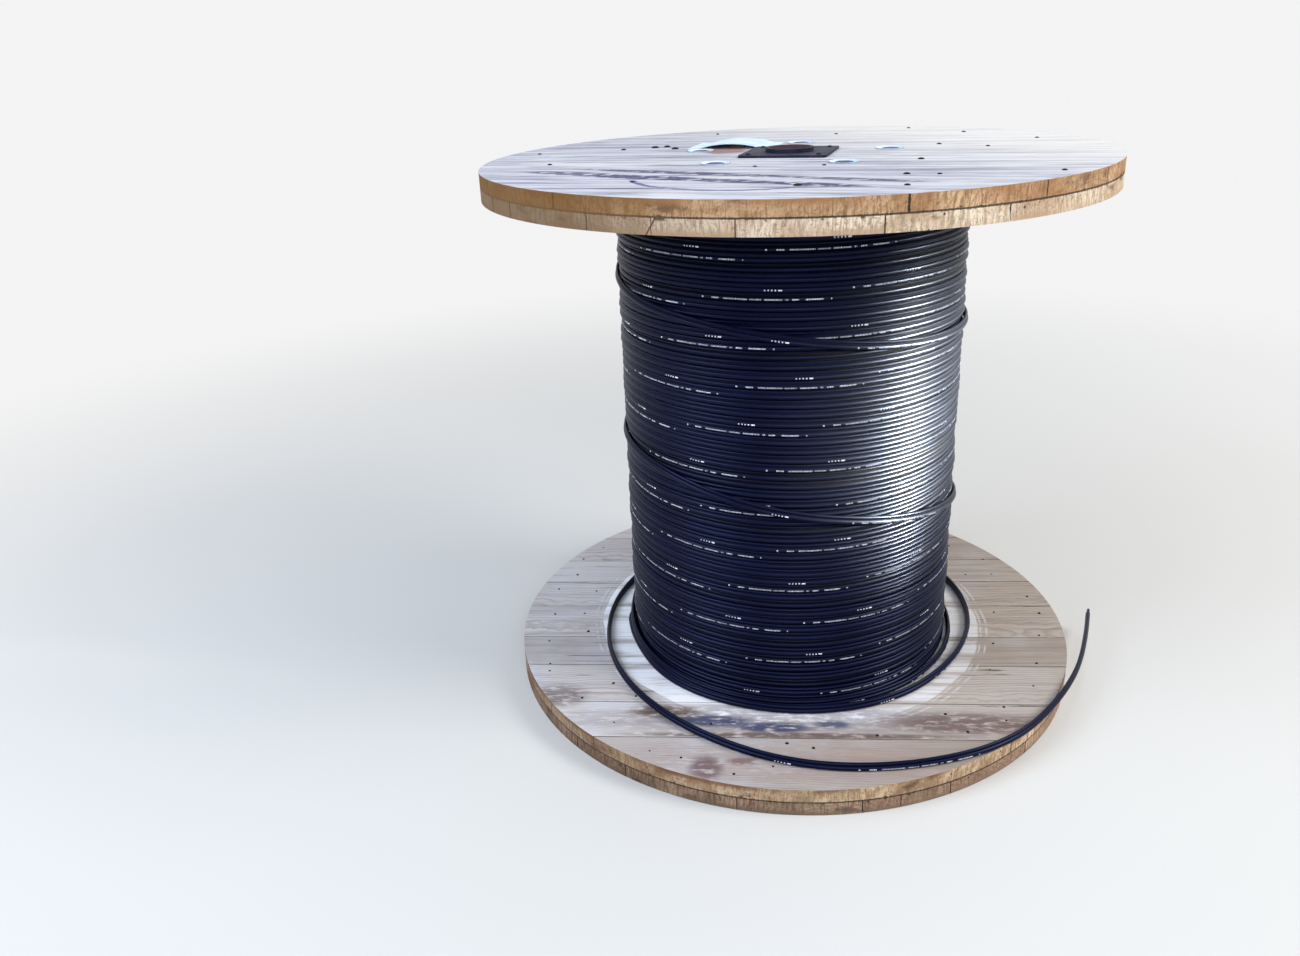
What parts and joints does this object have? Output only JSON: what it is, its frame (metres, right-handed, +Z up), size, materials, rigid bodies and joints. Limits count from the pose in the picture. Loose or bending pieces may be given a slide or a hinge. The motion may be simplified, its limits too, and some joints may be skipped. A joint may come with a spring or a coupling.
{
  "type": "wooden cable drum",
  "caption": "Wooden cable drum standing on its lower flange, wound with flat black cable whose outer end lies loose over that flange.",
  "frame": {"origin": "centre of the lower flange's underside, on the drum's axis, at floor level", "axes": "+Z up along the drum's axis, +X along the boards on top of the lower flange, +Y away from the side where the loose cable passes nearest the rim"},
  "size_m": [1.0687, 1, 0.91],
  "materials": {
    "flange_wood": "weathered grey softwood, unpainted",
    "barrel_wood": "sawn softwood",
    "cable_sheath": "black sheath, faintly glossy",
    "galvanised_steel": "dull galvanised sheet",
    "bolt_steel": "dark rusty steel",
    "plate_steel": "dark blue-black rolled steel with light rust"
  },
  "bodies": {
    "root": {"barrel_stave_1": "barrel_wood", "barrel_stave_10": "barrel_wood", "barrel_stave_11": "barrel_wood", "barrel_stave_12": "barrel_wood", "barrel_stave_2": "barrel_wood", "barrel_stave_3": "barrel_wood", "barrel_stave_4": "barrel_wood", "barrel_stave_5": "barrel_wood", "barrel_stave_6": "barrel_wood", "barrel_stave_7": "barrel_wood", "barrel_stave_8": "barrel_wood", "barrel_stave_9": "barrel_wood", "bottom_inner_board_1": "flange_wood", "bottom_inner_board_10": "flange_wood", "bottom_inner_board_2": "flange_wood", "bottom_inner_board_3": "flange_wood", "bottom_inner_board_4": "flange_wood", "bottom_inner_board_5": "flange_wood", "bottom_inner_board_6": "flange_wood", "bottom_inner_board_7": "flange_wood", "bottom_inner_board_8": "flange_wood", "bottom_inner_board_9": "flange_wood", "bottom_outer_board_1": "flange_wood", "bottom_outer_board_2": "flange_wood", "bottom_outer_board_3": "flange_wood", "bottom_outer_board_4": "flange_wood", "bottom_outer_board_5": "flange_wood", "bottom_outer_board_6": "flange_wood", "bottom_outer_board_7": "flange_wood", "bottom_outer_board_8": "flange_wood", "cable_end_cover": "galvanised_steel", "cable_winding": "cable_sheath", "cup_washers": "galvanised_steel", "loose_cable_end": "cable_sheath", "spindle_plate_bottom": "plate_steel", "spindle_plate_top": "plate_steel", "tie_bolt_1": "bolt_steel", "tie_bolt_2": "bolt_steel", "tie_bolt_3": "bolt_steel", "tie_bolt_4": "bolt_steel", "tie_bolt_5": "bolt_steel", "tie_bolt_nuts": "bolt_steel", "top_inner_board_1": "flange_wood", "top_inner_board_2": "flange_wood", "top_inner_board_3": "flange_wood", "top_inner_board_4": "flange_wood", "top_inner_board_5": "flange_wood", "top_inner_board_6": "flange_wood", "top_inner_board_7": "flange_wood", "top_inner_board_8": "flange_wood", "top_outer_board_1": "flange_wood", "top_outer_board_2": "flange_wood", "top_outer_board_3": "flange_wood", "top_outer_board_4": "flange_wood", "top_outer_board_5": "flange_wood", "top_outer_board_6": "flange_wood", "top_outer_board_7": "flange_wood", "top_outer_board_8": "flange_wood", "top_outer_board_9": "flange_wood"}
  },
  "joints": []
}
